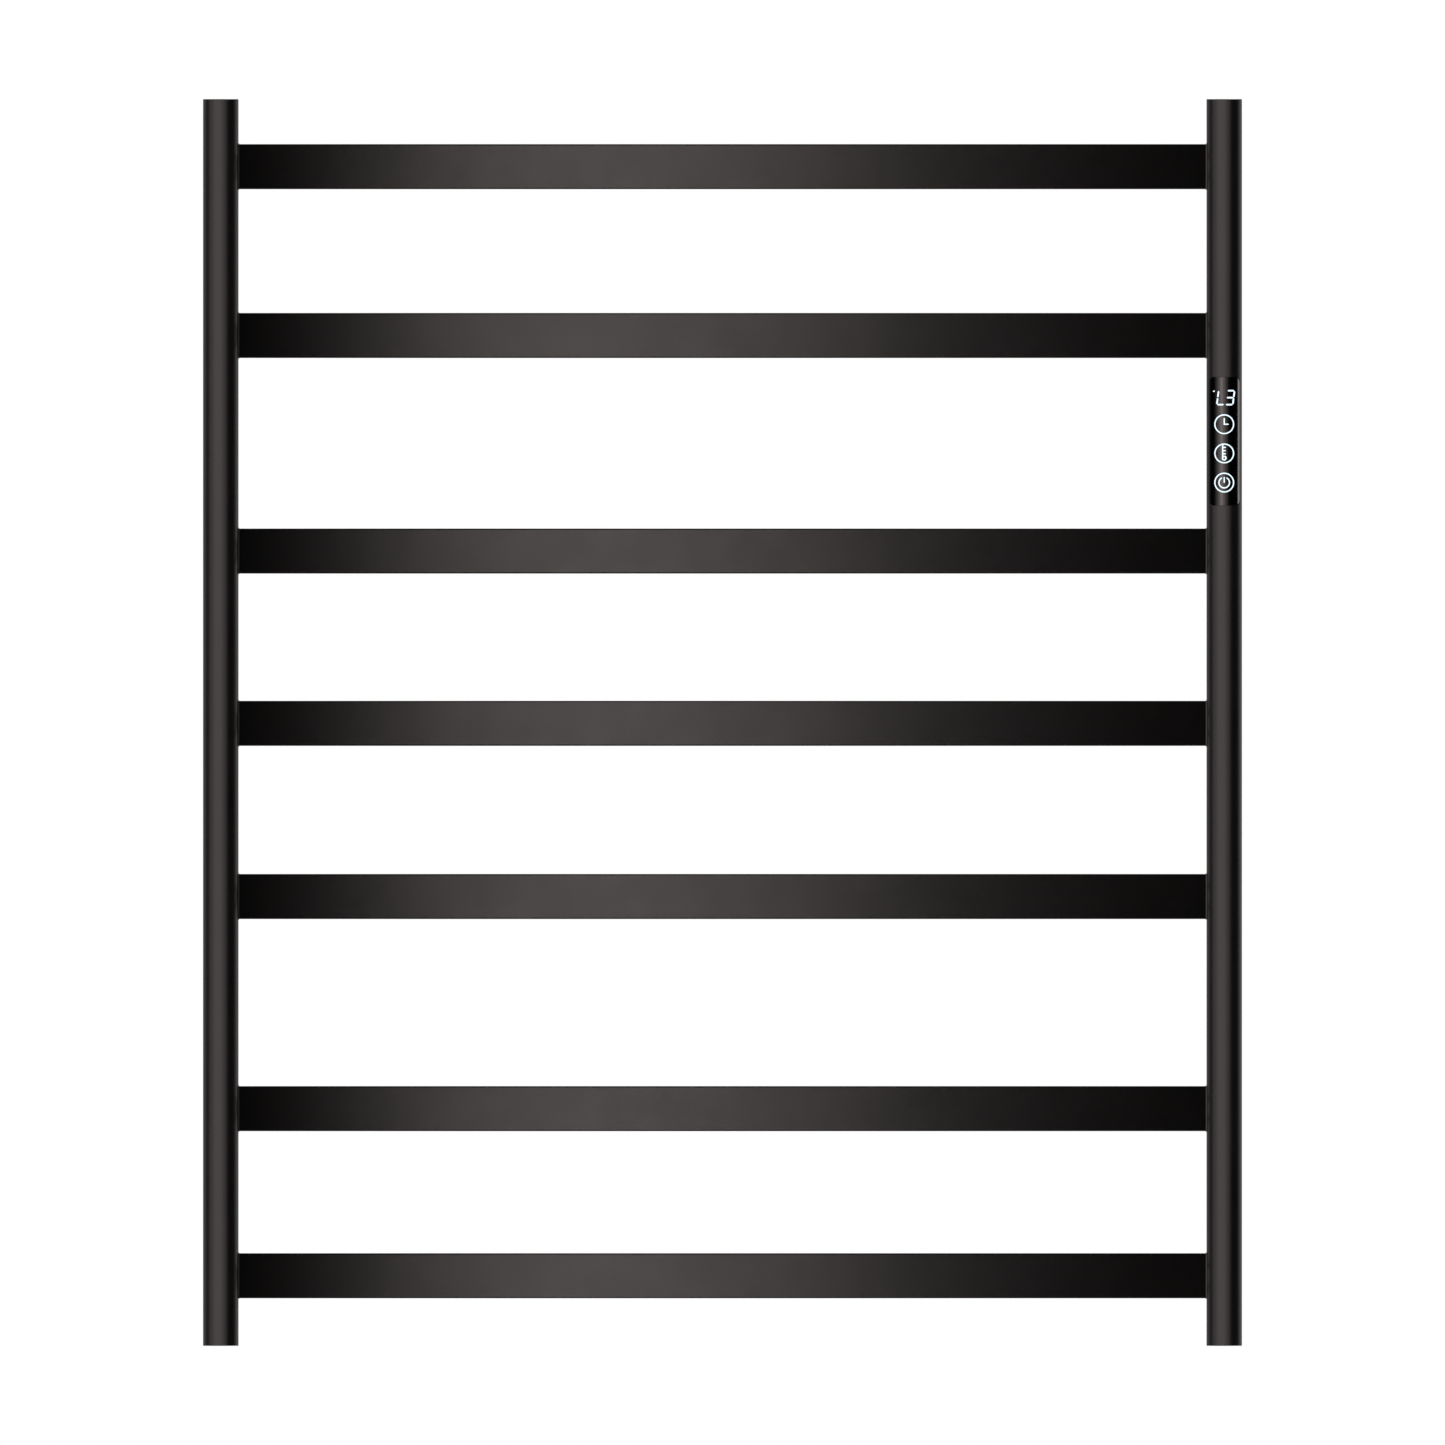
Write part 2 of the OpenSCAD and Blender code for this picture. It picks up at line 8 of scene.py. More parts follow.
import bmesh
import bpy
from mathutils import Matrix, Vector


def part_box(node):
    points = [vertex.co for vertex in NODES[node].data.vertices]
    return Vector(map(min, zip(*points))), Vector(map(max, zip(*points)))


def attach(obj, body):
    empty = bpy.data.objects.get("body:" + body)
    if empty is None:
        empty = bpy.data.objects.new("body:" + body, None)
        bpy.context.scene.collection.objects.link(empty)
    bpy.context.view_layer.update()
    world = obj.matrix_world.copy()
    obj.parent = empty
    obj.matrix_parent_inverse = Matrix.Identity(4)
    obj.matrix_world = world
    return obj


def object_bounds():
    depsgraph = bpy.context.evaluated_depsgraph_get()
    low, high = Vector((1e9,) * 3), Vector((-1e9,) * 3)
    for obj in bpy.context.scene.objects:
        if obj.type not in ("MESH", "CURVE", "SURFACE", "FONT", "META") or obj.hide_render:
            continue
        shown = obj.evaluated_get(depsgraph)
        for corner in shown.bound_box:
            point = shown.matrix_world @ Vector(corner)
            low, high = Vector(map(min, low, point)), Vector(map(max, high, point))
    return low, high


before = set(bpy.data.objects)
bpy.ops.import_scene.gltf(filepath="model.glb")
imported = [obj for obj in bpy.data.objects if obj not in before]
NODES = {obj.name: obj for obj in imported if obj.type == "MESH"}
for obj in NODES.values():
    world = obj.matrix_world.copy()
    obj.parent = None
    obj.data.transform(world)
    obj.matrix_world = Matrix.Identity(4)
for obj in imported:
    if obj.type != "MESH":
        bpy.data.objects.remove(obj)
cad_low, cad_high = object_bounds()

MM = 0.001
MICRON = 0.001 * MM

PICTURE_FILL = 0.719                # share of the picture's width that the rack takes
CAMERA_DISTANCE = 2.0               # from the camera to the front of the rack
FLOOR_DROP = 0.24                   # from the foot of the rack down to the floor
FLOOR_REACH = 6.0
LIGHT_DISTANCE = 5.0                # of the lights that stand far off
STRIP_DISTANCE = 0.7                # of the strip lights, from the posts' axes
STRIP_HEIGHT = 2.4

SATIN = 0.32                        # roughness of the coating
WARM = (1.0, 0.89, 0.875)           # tint of what the coating reflects

# Lit symbols on the panel
LIT_COLOUR = (0.78, 0.93, 1.0)
LIT_LIFT = 0.02 * MM                # how far the symbols stand out of the lens
LIT_SINK = 0.06 * MM                # how far they reach into it
SYMBOL_RING_R = 5.4 * MM
RING_STROKE = 0.7 * MM
ICON_STROKE = 0.7 * MM
DIGIT_STROKE = 0.9 * MM
DIGIT_HEIGHT = 8.05 * MM            # between the middles of the top and bottom segments
DIGIT_WIDTH = 4.2 * MM
DIGIT_PITCH = 5.0 * MM
DIGIT_SHIFT = 0.85 * MM             # the pair stands right of the panel's middle
DIGIT_SLANT = 0.131                 # shift to the right for each unit of height
SEGMENT_GAP = 0.2 * MM
ROUND_END_STEPS = 5
POINTED_TURN = 0.9                  # share of a quarter turn that a pointed end makes
BLUNT_TIP = 0.08                    # share of its width that a band keeps at its tip
SHARPEST_MITRE = 0.5

WELD = 0.8 * MM                     # leg of a weld fillet
WELD_SINK = 0.15 * MM               # how far the fillet reaches into the parts it joins
WELD_STEPS = 5
WELD_FULLNESS = 0.25                # 0 hollows the fillet most, 1 makes it straight
BAR_EDGE_R = 0.8 * MM
BAR_EDGE_STEPS = 6
BAR_SIDE_STEPS = 8
SLEEVE_STEPS = 72


def middle(name):
    """Middle of a CAD node's box."""
    low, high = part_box(name)
    return (low + high) / 2


def size(name):
    """Size of a CAD node's box."""
    low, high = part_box(name)
    return high - low


POST_R = size("left_post").x / 2
POST_Y = middle("left_post").y
LENS_R = POST_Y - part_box("control_lens")[0].y
BARS = sorted(name for name in NODES if name.startswith("bar_"))
POSTS = {"left": middle("left_post").x, "right": middle("right_post").x}


# ---------------------------------------------------------------- shader helpers

def node(tree, kind, inputs=None, **settings):
    """Adds a node. inputs gives each socket a value, or the socket that feeds it."""
    made = tree.nodes.new("ShaderNode" + kind)
    for name, value in settings.items():
        setattr(made, name, value)
    for name, value in (inputs or {}).items():
        if isinstance(value, bpy.types.NodeSocket):
            tree.links.new(value, made.inputs[name])
        else:
            made.inputs[name].default_value = value
    return made


def surface(name, **values):
    """A new material. values are the shader's constant sockets, with _ for a space."""
    material = bpy.data.materials.new(name)
    material.use_nodes = True
    tree = material.node_tree
    shader = tree.nodes["Principled BSDF"]
    for socket, value in values.items():
        shader.inputs[socket.replace("_", " ")].default_value = value
    return material, tree, shader


def place(tree):
    """A point's place in the rack's frame."""
    return node(tree, "TexCoord").outputs["Object"]


def noise(tree, scale, detail=2.0, stretch=(1.0, 1.0, 1.0)):
    """Noise with about scale cells to the metre, from 0 to 1."""
    mapped = node(tree, "Mapping", {"Vector": place(tree), "Scale": stretch})
    return node(tree, "TexNoise", {
        "Vector": mapped.outputs["Vector"],
        "Scale": scale,
        "Detail": detail,
    }).outputs["Fac"]


def between(tree, value, low, high, start=0.3, end=0.7):
    """Stretches a value that runs from start to end into one from low to high."""
    return node(tree, "MapRange", {
        "Value": value,
        "From Min": start,
        "From Max": end,
        "To Min": low,
        "To Max": high,
    }).outputs["Result"]


def blend_colours(tree, value, first, second):
    """Runs from the first colour to the second as value goes from 0.3 to 0.7."""
    mix = node(tree, "Mix", {"Factor": between(tree, value, 0.0, 1.0)}, data_type="RGBA")
    mix.inputs["A"].default_value = (*first, 1.0)
    mix.inputs["B"].default_value = (*second, 1.0)
    return next(out for out in mix.outputs if out.type == "RGBA")


def relief(tree, shader, height, depth):
    """Raises the surface by height times depth, in metres."""
    bump = node(tree, "Bump", {"Height": height, "Distance": depth, "Strength": 1.0})
    tree.links.new(bump.outputs["Normal"], shader.inputs["Normal"])


def finish_with(tree, shader, colour, roughness):
    """Feeds the shader's colour and roughness."""
    tree.links.new(colour, shader.inputs["Base Color"])
    tree.links.new(roughness, shader.inputs["Roughness"])


# ---------------------------------------------------------------- materials

def coated_steel():
    """Satin black powder coat: even, with a fine orange peel and a slightly warm sheen."""
    material, tree, shader = surface("coated_steel", IOR=1.5, Specular_Tint=(*WARM, 1.0))
    colour = blend_colours(tree, noise(tree, 35.0), (0.0035, 0.0033, 0.0032), (0.0055, 0.005, 0.0048))
    finish_with(tree, shader, colour, between(tree, noise(tree, 60.0), SATIN - 0.01, SATIN + 0.01))
    relief(tree, shader, noise(tree, 1100.0, detail=3.0), 6 * MICRON)
    return material


def lens_gloss_black():
    """Glossy moulded window, all but black, with the faint unevenness of polished plastic."""
    material, tree, shader = surface("lens_gloss_black", IOR=1.5, Specular_Tint=(*WARM, 1.0))
    colour = blend_colours(tree, noise(tree, 90.0), (0.0008, 0.0008, 0.0009), (0.0014, 0.0014, 0.0016))
    finish_with(tree, shader, colour, between(tree, noise(tree, 160.0), 0.15, 0.17))
    relief(tree, shader, noise(tree, 220.0), 1 * MICRON)
    return material


def lit_white():
    """Translucent print with light behind it, a little uneven from the light guide."""
    material, tree, shader = surface("lit_white", Roughness=0.4, Base_Color=(0.02, 0.022, 0.025, 1.0))
    uneven = noise(tree, 700.0)
    dim = tuple(0.94 * part for part in LIT_COLOUR)
    tree.links.new(blend_colours(tree, uneven, dim, LIT_COLOUR), shader.inputs["Emission Color"])
    tree.links.new(between(tree, uneven, 1.25, 1.35), shader.inputs["Emission Strength"])
    return material


def plain_steel():
    """Zinc-plated turned steel with tool marks round each fixing's axis."""
    material, tree, shader = surface("plain_steel", Metallic=1.0, Anisotropic=0.4)
    apart = node(tree, "SeparateXYZ", {"Vector": place(tree)})
    fixing = middle("right_top_base")
    offsets = []
    for axis, centre in (("X", fixing.x), ("Z", fixing.z)):
        folded = node(tree, "Math", {0: apart.outputs[axis]}, operation="ABSOLUTE")
        offset = node(tree, "Math", {0: folded.outputs[0], 1: centre}, operation="SUBTRACT")
        offsets.append(offset.outputs[0])
    flat = node(tree, "CombineXYZ", {"X": offsets[0], "Y": offsets[1]})
    radius = node(tree, "VectorMath", {0: flat.outputs[0]}, operation="LENGTH")
    along = node(tree, "CombineXYZ", {"X": radius.outputs["Value"], "Y": apart.outputs["Y"]})
    marks = node(tree, "TexNoise", {"Vector": along.outputs[0], "Scale": 2500.0, "Detail": 3.0})
    colour = blend_colours(tree, noise(tree, 120.0), (0.34, 0.35, 0.37), (0.42, 0.43, 0.44))
    finish_with(tree, shader, colour, between(tree, marks.outputs["Fac"], 0.26, 0.42))
    relief(tree, shader, marks.outputs["Fac"], 6 * MICRON)
    return material


def grained(name, first, second, roughness, scale, depth, metallic=0.0):
    """A cast, moulded or drawn surface: two close colours, uneven gloss and a fine grain."""
    material, tree, shader = surface(name, Metallic=metallic)
    colour = blend_colours(tree, noise(tree, scale / 6), first, second)
    uneven = noise(tree, scale / 3)
    finish_with(tree, shader, colour, between(tree, uneven, roughness - 0.05, roughness + 0.05))
    relief(tree, shader, noise(tree, scale, detail=4.0), depth)
    return material


def black_rubber():
    return grained("black_rubber", (0.010, 0.010, 0.010), (0.018, 0.018, 0.018),
                   roughness=0.75, scale=1500.0, depth=15 * MICRON)


def black_plastic():
    return grained("black_plastic", (0.010, 0.010, 0.011), (0.016, 0.016, 0.017),
                   roughness=0.45, scale=1800.0, depth=6 * MICRON)


def grey_plastic():
    return grained("grey_plastic", (0.25, 0.26, 0.28), (0.31, 0.32, 0.34),
                   roughness=0.5, scale=1800.0, depth=6 * MICRON)


def board_green():
    """Lacquered circuit board with the weave of its glass cloth showing through."""
    material, tree, shader = surface("board_green", Coat_Weight=0.5, Coat_Roughness=0.15)
    weave = node(tree, "TexChecker", {"Vector": place(tree), "Scale": 1600.0})
    colour = blend_colours(tree, weave.outputs["Fac"], (0.010, 0.085, 0.035), (0.014, 0.11, 0.045))
    finish_with(tree, shader, colour, between(tree, noise(tree, 300.0), 0.35, 0.45))
    relief(tree, shader, weave.outputs["Fac"], 3 * MICRON)
    return material


def copper():
    return grained("copper", (0.80, 0.36, 0.22), (0.90, 0.46, 0.30),
                   roughness=0.3, scale=2500.0, depth=3 * MICRON, metallic=1.0)


def brass():
    return grained("brass", (0.72, 0.52, 0.22), (0.82, 0.63, 0.30),
                   roughness=0.28, scale=2500.0, depth=3 * MICRON, metallic=1.0)


def sleeve_cream():
    return grained("sleeve_cream", (0.60, 0.55, 0.40), (0.70, 0.65, 0.50),
                   roughness=0.6, scale=900.0, depth=20 * MICRON)


def cable_silicone():
    return grained("cable_silicone", (0.28, 0.025, 0.015), (0.36, 0.035, 0.022),
                   roughness=0.42, scale=900.0, depth=8 * MICRON)


def lead_insulation():
    """Brown for live on the left, blue for neutral on the right, with faint extrusion lines."""
    material, tree, shader = surface("lead_insulation", Roughness=0.4)
    apart = node(tree, "SeparateXYZ", {"Vector": place(tree)})
    side = node(tree, "Math", {0: apart.outputs["X"], 1: POSTS["right"]}, operation="GREATER_THAN")
    colour = blend_colours(tree, side.outputs[0], (0.10, 0.035, 0.015), (0.02, 0.08, 0.32))
    lines = noise(tree, 1200.0, stretch=(1.0, 1.0, 0.03))
    finish_with(tree, shader, colour, between(tree, lines, 0.34, 0.46))
    relief(tree, shader, lines, 8 * MICRON)
    return material


def earth_insulation():
    """Green with a yellow stripe that winds round the lead."""
    material, tree, shader = surface("earth_insulation", Roughness=0.4)
    stripe = node(tree, "TexWave", {"Vector": place(tree), "Scale": 90.0, "Distortion": 1.0},
                  bands_direction="DIAGONAL")
    colour = blend_colours(tree, stripe.outputs["Fac"], (0.03, 0.22, 0.03), (0.65, 0.55, 0.03))
    finish_with(tree, shader, colour, between(tree, noise(tree, 900.0), 0.34, 0.46))
    relief(tree, shader, noise(tree, 1200.0), 6 * MICRON)
    return material


MATERIALS = {make.__name__: make() for make in (
    coated_steel, lens_gloss_black, lit_white, plain_steel, black_rubber, black_plastic,
    grey_plastic, board_green, copper, brass, sleeve_cream, cable_silicone,
    lead_insulation, earth_insulation,
)}


def dress_cad_nodes():
    """Gives every CAD node the material of its slot; the earth lead has its own."""
    for name, obj in NODES.items():
        for slot in obj.material_slots:
            slot.material = MATERIALS[slot.material.name.split(".")[0]]
    NODES["earth_lead"].material_slots[0].material = MATERIALS["earth_insulation"]


# ---------------------------------------------------------------- made pieces

def add_piece(name, mesh, slot, smooth_angle=40.0):
    """Puts a bmesh into the scene as a piece of the rack."""
    bmesh.ops.remove_doubles(mesh, verts=mesh.verts, dist=1e-7)
    bmesh.ops.recalc_face_normals(mesh, faces=mesh.faces)
    data = bpy.data.meshes.new(name)
    mesh.to_mesh(data)
    mesh.free()
    data.materials.append(MATERIALS[slot])
    data.shade_smooth()
    data.set_sharp_from_angle(angle=math.radians(smooth_angle))
    piece = bpy.data.objects.new(name, data)
    bpy.context.scene.collection.objects.link(piece)
    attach(piece, "rack")
    return piece


def sweep(mesh, sections, closed):
    """Skins a row of sections, each the same number of points round; open ends are capped."""
    rows = [[mesh.verts.new(point) for point in section] for section in sections]
    count = len(rows[0])
    last = len(rows) if closed else len(rows) - 1
    for i in range(last):
        here, there = rows[i], rows[(i + 1) % len(rows)]
        for k in range(count):
            after = (k + 1) % count
            mesh.faces.new((here[k], here[after], there[after], there[k]))
    if not closed:
        mesh.faces.new(rows[0])
        mesh.faces.new(rows[-1])


# ---------------------------------------------------------------- welds

def weld_section(corner, branch_foot, post_foot, inward):
    """Section of a hollow fillet between two feet, closed behind the corner."""
    pull = corner.lerp((branch_foot + post_foot) / 2, WELD_FULLNESS)
    points = []
    for i in range(WELD_STEPS + 1):
        t = i / WELD_STEPS
        points.append(branch_foot * (1 - t) ** 2 + pull * 2 * t * (1 - t) + post_foot * t ** 2)
    points.append(post_foot + inward)
    points.append(branch_foot + inward)
    return points


def arc_points(centre, radius, start, end, steps):
    """Points of an arc, with the direction from the centre to each."""
    for i in range(steps + 1):
        angle = math.radians(start + (end - start) * i / steps)
        out = (math.cos(angle), math.sin(angle))
        yield (centre[0] + radius * out[0], centre[1] + radius * out[1]), out


def bar_outline(bar):
    """Outline of a bar's section as (y, z) points with their outward directions."""
    low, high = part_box(bar)
    front, back = low.y + BAR_EDGE_R, high.y - BAR_EDGE_R
    foot, top = low.z + BAR_EDGE_R, high.z - BAR_EDGE_R
    corners = ((back, top), (front, top), (front, foot), (back, foot))
    outline = []
    for n, (y, z) in enumerate(corners):
        outline += list(arc_points((y, z), BAR_EDGE_R, 90 * n, 90 * (n + 1), BAR_EDGE_STEPS))
        next_y, next_z = corners[(n + 1) % len(corners)]
        (side_y, side_z), out = outline[-1]
        for step in range(1, BAR_SIDE_STEPS):
            share = step / BAR_SIDE_STEPS
            point = (side_y + (next_y - y) * share, side_z + (next_z - z) * share)
            outline.append((point, out))
    return outline


def post_reach(offset):
    """How far a post's surface lies from its axis, seen at an offset to the axis's side."""
    return math.sqrt(POST_R ** 2 - offset ** 2)


def bar_weld(mesh, bar, post_x):
    """Fillet all round a bar where it meets a post."""
    towards_bar = -math.copysign(1.0, post_x)
    sections = []
    for (y, z), (out_y, out_z) in bar_outline(bar):
        far_y, far_z = y + WELD * out_y, z + WELD * out_z
        corner = Vector((post_x + towards_bar * post_reach(y - POST_Y), y, z))
        branch_foot = corner + Vector((towards_bar * WELD, 0.0, 0.0))
        post_foot = Vector((post_x + towards_bar * post_reach(far_y - POST_Y), far_y, far_z))
        inward = Vector((-towards_bar, -out_y, -out_z)) * WELD_SINK
        sections.append(weld_section(corner, branch_foot, post_foot, inward))
    sweep(mesh, sections, closed=True)


def sleeve_weld(mesh, sleeve, post_x):
    """Fillet round a sleeve where it meets the back of a post."""
    radius = size(sleeve).x / 2
    centre = (post_x, middle(sleeve).z)
    sections = []
    for (x, z), (out_x, out_z) in list(arc_points(centre, radius, 0, 360, SLEEVE_STEPS))[:-1]:
        far_x, far_z = x + WELD * out_x, z + WELD * out_z
        corner = Vector((x, POST_Y + post_reach(x - post_x), z))
        branch_foot = corner + Vector((0.0, WELD, 0.0))
        post_foot = Vector((far_x, POST_Y + post_reach(far_x - post_x), far_z))
        inward = Vector((-out_x, -1.0, -out_z)) * WELD_SINK
        sections.append(weld_section(corner, branch_foot, post_foot, inward))
    sweep(mesh, sections, closed=True)


def make_welds():
    """One piece for each post, with its bars' and its sleeves' welds."""
    welds = []
    for side, post_x in POSTS.items():
        mesh = bmesh.new()
        for bar in BARS:
            bar_weld(mesh, bar, post_x)
        for level in ("top", "bottom"):
            sleeve_weld(mesh, f"{side}_{level}_sleeve", post_x)
        welds.append(add_piece(f"{side}_welds", mesh, "coated_steel"))
    return welds


# ---------------------------------------------------------------- lit symbols

def on_lens(x, z, radius):
    """The point at x beside the panel's middle, on a round surface about the post's axis."""
    return Vector((POSTS["right"] + x, POST_Y - math.sqrt(radius ** 2 - x ** 2), z))


def with_ends(path, half_width, pointed):
    """A path with its half widths, drawn out into round or pointed ends."""
    steps, turn = (1, POINTED_TURN) if pointed else (ROUND_END_STEPS, 1.0)
    tips = []
    for end, neighbour in ((path[0], path[1]), (path[-1], path[-2])):
        out = (end - neighbour).normalized()
        tip = []
        for i in range(steps + 1):
            angle = math.pi / 2 * turn * i / steps
            reach = half_width * math.sin(angle)
            tip.append((end + out * reach, half_width * max(math.cos(angle), BLUNT_TIP)))
        tips.append(tip)
    body = [(point, half_width) for point in path[1:-1]]
    return tips[0][::-1] + body + tips[1]


def stroke(mesh, path, width, closed=False, pointed=False):
    """A thin lit band along a path of (x, z) points, lying on the lens."""
    path = [Vector(point) for point in path]
    rows = [(point, width / 2) for point in path] if closed else with_ends(path, width / 2, pointed)
    count = len(rows)
    sections = []
    for i, (point, half) in enumerate(rows):
        before = rows[(i - 1) % count if closed else max(i - 1, 0)][0]
        after = rows[(i + 1) % count if closed else min(i + 1, count - 1)][0]
        into = (point - before).normalized() if point != before else (after - point).normalized()
        away = (after - point).normalized() if point != after else into
        along = (into + away).normalized()
        mitre = half / max(along.dot(into), SHARPEST_MITRE)
        side = Vector((-along.y, along.x)) * mitre
        left, right = point + side, point - side
        sections.append([
            on_lens(left.x, left.y, LENS_R + LIT_LIFT),
            on_lens(right.x, right.y, LENS_R + LIT_LIFT),
            on_lens(right.x, right.y, LENS_R - LIT_SINK),
            on_lens(left.x, left.y, LENS_R - LIT_SINK),
        ])
    sweep(mesh, sections, closed)


def line(start, end, step=0.8 * MM):
    """Points along a straight line."""
    start, end = Vector(start), Vector(end)
    count = max(1, round((end - start).length / step))
    return [start.lerp(end, i / count) for i in range(count + 1)]


def circle(centre, radius, start=0.0, end=360.0, steps=48):
    """Points of an arc, or of a whole circle without its last point."""
    points = [Vector(point) for point, _ in arc_points(centre, radius, start, end, steps)]
    return points[:-1] if end - start == 360.0 else points


def clock_symbol(mesh, z):
    """Two hands at three o'clock."""
    minute_hand = 3.25 * MM
    hour_hand = 2.2 * MM
    hands = line((0.0, z + minute_hand), (0.0, z)) + line((0.0, z), (hour_hand, z))[1:]
    stroke(mesh, hands, ICON_STROKE)


def thermometer_symbol(mesh, z):
    """A stem that hangs from the ring, a bulb at its foot and three ticks."""
    bulb_r = 1.0 * MM
    bulb_stroke = 0.8 * MM
    bulb_z = z - 2.7 * MM
    stem_x = -0.9 * MM
    tick_end = 0.6 * MM
    tick_stroke = 0.75 * MM
    top_tick = 3.45 * MM
    tick_pitch = 1.83 * MM
    stroke(mesh, line((stem_x, z + SYMBOL_RING_R), (stem_x, bulb_z)), ICON_STROKE)
    stroke(mesh, circle((0.0, bulb_z), bulb_r), bulb_stroke, closed=True)
    for n in range(3):
        tick_z = z + top_tick - n * tick_pitch
        stroke(mesh, line((stem_x, tick_z), (tick_end, tick_z)), tick_stroke)


def power_symbol(mesh, z):
    """An arc that is open at the top, with a bar in its opening."""
    arc_r = 3.05 * MM
    gap = 31.0                          # degrees from the top to each end of the arc
    bar_top = 2.95 * MM
    bar_foot = 0.15 * MM
    stroke(mesh, circle((0.0, z), arc_r, 90.0 + gap, 450.0 - gap), ICON_STROKE)
    stroke(mesh, line((0.0, z + bar_top), (0.0, z + bar_foot)), ICON_STROKE)


def key_heights():
    """Heights of the three keys, from the sensing rings behind the lens, bottom key first."""
    low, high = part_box("touch_rings")
    ring_r = (high.x - low.x) / 2
    return low.z + ring_r, (low.z + high.z) / 2, high.z - ring_r


def digit(mesh, centre, lit):
    """A seven-segment digit; lit names its segments from a, at the top, clockwise to f, then g."""
    half_w, half_h = DIGIT_WIDTH / 2, DIGIT_HEIGHT / 2
    corners = {
        "a": ((-half_w, half_h), (half_w, half_h)), "b": ((half_w, half_h), (half_w, 0.0)),
        "c": ((half_w, 0.0), (half_w, -half_h)), "d": ((-half_w, -half_h), (half_w, -half_h)),
        "e": ((-half_w, -half_h), (-half_w, 0.0)), "f": ((-half_w, 0.0), (-half_w, half_h)),
        "g": ((-half_w, 0.0), (half_w, 0.0)),
    }
    inset = DIGIT_STROKE / 2 + SEGMENT_GAP
    for name in lit:
        start, end = (Vector((x + DIGIT_SLANT * z, z)) + Vector(centre) for x, z in corners[name])
        along = (end - start).normalized() * inset
        stroke(mesh, line(start + along, end - along), DIGIT_STROKE, pointed=True)


def make_readout():
    """Two digits of the display, and a dot at their upper left."""
    z = middle("display_module").z
    dot_x = DIGIT_SHIFT - DIGIT_PITCH - DIGIT_WIDTH / 2 + 0.3 * MM
    dot_z = z + 3.7 * MM
    dot_l = 0.1 * MM
    mesh = bmesh.new()
    digit(mesh, (DIGIT_SHIFT - DIGIT_PITCH / 2, z), "def")
    digit(mesh, (DIGIT_SHIFT + DIGIT_PITCH / 2, z), "abcdg")
    stroke(mesh, line((dot_x - dot_l / 2, dot_z), (dot_x + dot_l / 2, dot_z)), DIGIT_STROKE)
    return add_piece("readout", mesh, "lit_white")


def make_symbols():
    """The three keys' symbols, each in a ring, and the display's readout."""
    symbols = []
    for draw, z in zip((power_symbol, thermometer_symbol, clock_symbol), key_heights()):
        mesh = bmesh.new()
        stroke(mesh, circle((0.0, z), SYMBOL_RING_R), RING_STROKE, closed=True)
        draw(mesh, z)
        symbols.append(add_piece(draw.__name__, mesh, "lit_white"))
    return symbols + [make_readout()]


# ---------------------------------------------------------------- light and camera

def collection_of(name, objects):
    """A collection that only light linking uses."""
    group = bpy.data.collections.new(name)
    for obj in objects:
        group.objects.link(obj)
    return group


def aimed(light_data, position, target, receivers):
    """Puts a light in the scene, pointing at target, out of the camera's sight."""
    light = bpy.data.objects.new(light_data.name, light_data)
    light.location = position
    light.rotation_euler = (Vector(target) - Vector(position)).to_track_quat("-Z", "Y").to_euler()
    light.visible_camera = False
    bpy.context.scene.collection.objects.link(light)
    light.light_linking.receiver_collection = receivers


def strip(name, x, width, power, spread, receivers):
    """A tall strip light close in front of the rack, square on to it."""
    data = bpy.data.lights.new(name, "AREA")
    data.shape = "RECTANGLE"
    data.size = width
    data.size_y = STRIP_HEIGHT
    data.energy = power
    data.spread = math.radians(spread)
    aimed(data, (x, POST_Y - STRIP_DISTANCE, 0.0), (x, POST_Y, 0.0), receivers)


def distant(name, azimuth, spread, strength, receivers, elevation=0.0):
    """A round soft light far off; azimuth 0 is straight in front, + to the right."""
    data = bpy.data.lights.new(name, "SUN")
    data.angle = math.radians(spread)
    data.energy = strength
    turn, tilt = math.radians(azimuth), math.radians(elevation)
    level = math.cos(tilt)
    direction = Vector((math.sin(turn) * level, -math.cos(turn) * level, math.sin(tilt)))
    aimed(data, direction * LIGHT_DISTANCE, (0.0, 0.0, 0.0), receivers)


def glow(name, azimuth, rings, receivers):
    """Distant lights one inside another, so that the sum is brightest in the middle."""
    for spread, strength in rings:
        distant(f"{name}_{spread:.0f}", azimuth, spread, strength, receivers)


def studio_world():
    """White to the eye; in reflections dark in front, with a soft glow behind and below."""
    world = bpy.data.worlds.new("studio")
    bpy.context.scene.world = world
    world.use_nodes = True
    tree = world.node_tree
    direction = node(tree, "TexCoord").outputs["Generated"]
    apart = node(tree, "SeparateXYZ", {"Vector": direction})
    behind = between(tree, apart.outputs["Y"], 0.0, 0.37, start=0.12, end=0.45)
    below = between(tree, apart.outputs["Z"], 0.0, 0.3, start=-0.3, end=-0.8)
    reflected = node(tree, "Math", {0: behind, 1: below}, operation="MAXIMUM")
    seen = node(tree, "LightPath").outputs["Is Camera Ray"]
    strength = node(tree, "Math", {0: reflected.outputs[0], 1: seen}, operation="MAXIMUM")
    tree.links.new(strength.outputs[0], tree.nodes["Background"].inputs["Strength"])
    tree.nodes["Background"].inputs["Color"].default_value = (1.0, 1.0, 1.0, 1.0)


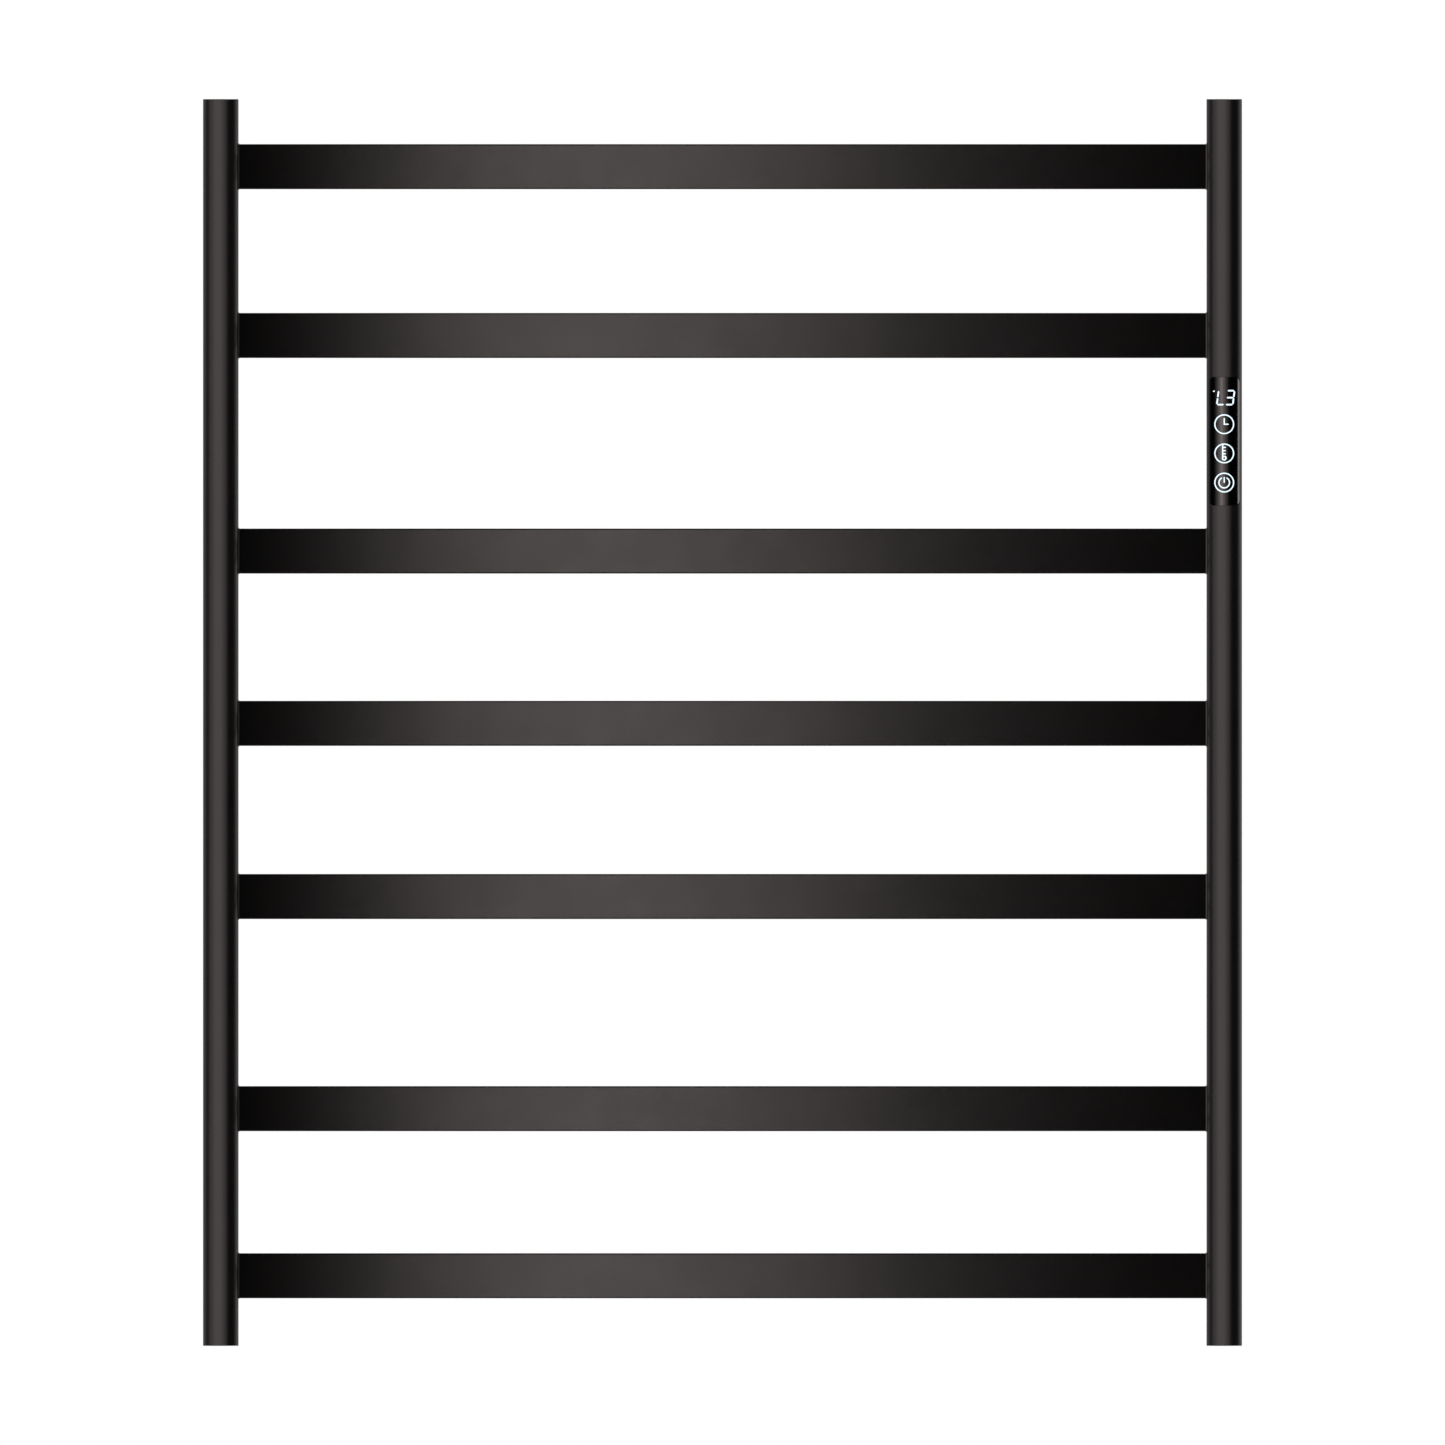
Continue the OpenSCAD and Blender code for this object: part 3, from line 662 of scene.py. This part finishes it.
def make_floor():
    """A pale floor under the rack, which only the camera sees."""
    level = cad_low.z - FLOOR_DROP
    signs = ((-1, -1), (1, -1), (1, 1), (-1, 1))
    corners = [(x * FLOOR_REACH, y * FLOOR_REACH, level) for x, y in signs]
    data = bpy.data.meshes.new("floor")
    data.from_pydata(corners, [], [(0, 1, 2, 3)])
    material, tree, shader = surface("pale_floor", Roughness=0.8)
    colour = blend_colours(tree, noise(tree, 3.0), (0.86, 0.86, 0.86), (0.88, 0.88, 0.88))
    finish_with(tree, shader, colour, between(tree, noise(tree, 40.0), 0.75, 0.85))
    data.materials.append(material)
    floor = bpy.data.objects.new("floor", data)
    bpy.context.scene.collection.objects.link(floor)
    floor.visible_glossy = False
    floor.visible_diffuse = False
    return floor


def light_bars():
    """Strips for one soft highlight along the front, and soft lights for the other sides."""
    bars = collection_of("lit_bars", [NODES[bar] for bar in BARS])
    strip("bar_key", -0.12, 0.12, 0.066, 20.0, bars)
    strip("bar_soft", -0.075, 0.06, 0.235, 32.0, bars)
    strip("bar_wide", 0.06, 0.06, 0.164, 58.0, bars)
    strip("bar_right", 0.03, 0.12, 0.036, 20.0, bars)
    for azimuth in (-130.0, -50.0, 50.0, 130.0):
        distant("low_bars", azimuth, 40.0, 0.4, bars, elevation=-30.0)
    for azimuth in (-50.0, 50.0):
        distant("high_bars", azimuth, 40.0, 0.4, bars, elevation=30.0)


def light_frame(welds):
    """Posts and all that goes with them: a soft key at the left, and lights for the other sides."""
    others = [obj for name, obj in NODES.items() if name not in BARS and name != "control_lens"]
    frame_parts = collection_of("lit_frame", others + welds)
    distant("frame_wide", -22.0, 120.0, 2.14, frame_parts)
    distant("frame_key", -18.0, 60.0, 0.66, frame_parts)
    distant("frame_edge", 130.0, 40.0, 0.07, frame_parts)
    for azimuth in (-130.0, -50.0, 130.0):
        distant("low_frame", azimuth, 40.0, 0.4, frame_parts, elevation=-30.0)
    for azimuth in (-90.0, 90.0):
        distant("high_frame", azimuth, 60.0, 0.8, frame_parts, elevation=50.0)


def light_panel(symbols):
    """A glow that the lens mirrors along its middle, and a thin light at its right edge."""
    panel = collection_of("lit_panel", [NODES["control_lens"], *symbols])
    glow("panel", -17.0, ((110.0, 0.13), (80.0, 0.84), (50.0, 0.67), (20.0, 0.17)), panel)
    distant("panel_edge", 108.0, 20.0, 0.32, panel)


def make_camera():
    """Level, square on to the rack and without perspective."""
    centre = (cad_low + cad_high) / 2
    data = bpy.data.cameras.new("camera")
    data.type = "ORTHO"
    data.ortho_scale = (cad_high.x - cad_low.x) / PICTURE_FILL
    camera = bpy.data.objects.new("camera", data)
    camera.location = (centre.x, cad_low.y - CAMERA_DISTANCE, centre.z)
    camera.rotation_euler = (math.radians(90.0), 0.0, 0.0)
    bpy.context.scene.collection.objects.link(camera)
    bpy.context.scene.camera = camera


def clear_post_edges():
    """Keeps the bars out of shadows and reflections, so each post's bright edge runs on past them."""
    for bar in BARS:
        NODES[bar].visible_glossy = False
        NODES[bar].visible_shadow = False


dress_cad_nodes()
clear_post_edges()
welds = make_welds()
symbols = make_symbols()
floor = make_floor()
# Each part of the rack has its own lights, as in a catalogue picture
studio_world()
light_bars()
light_frame(welds)
light_panel(symbols)
distant("overhead", 0.0, 60.0, 3.5, collection_of("lit_ground", [floor]), elevation=90.0)
make_camera()
bpy.context.scene.view_settings.view_transform = "Standard"
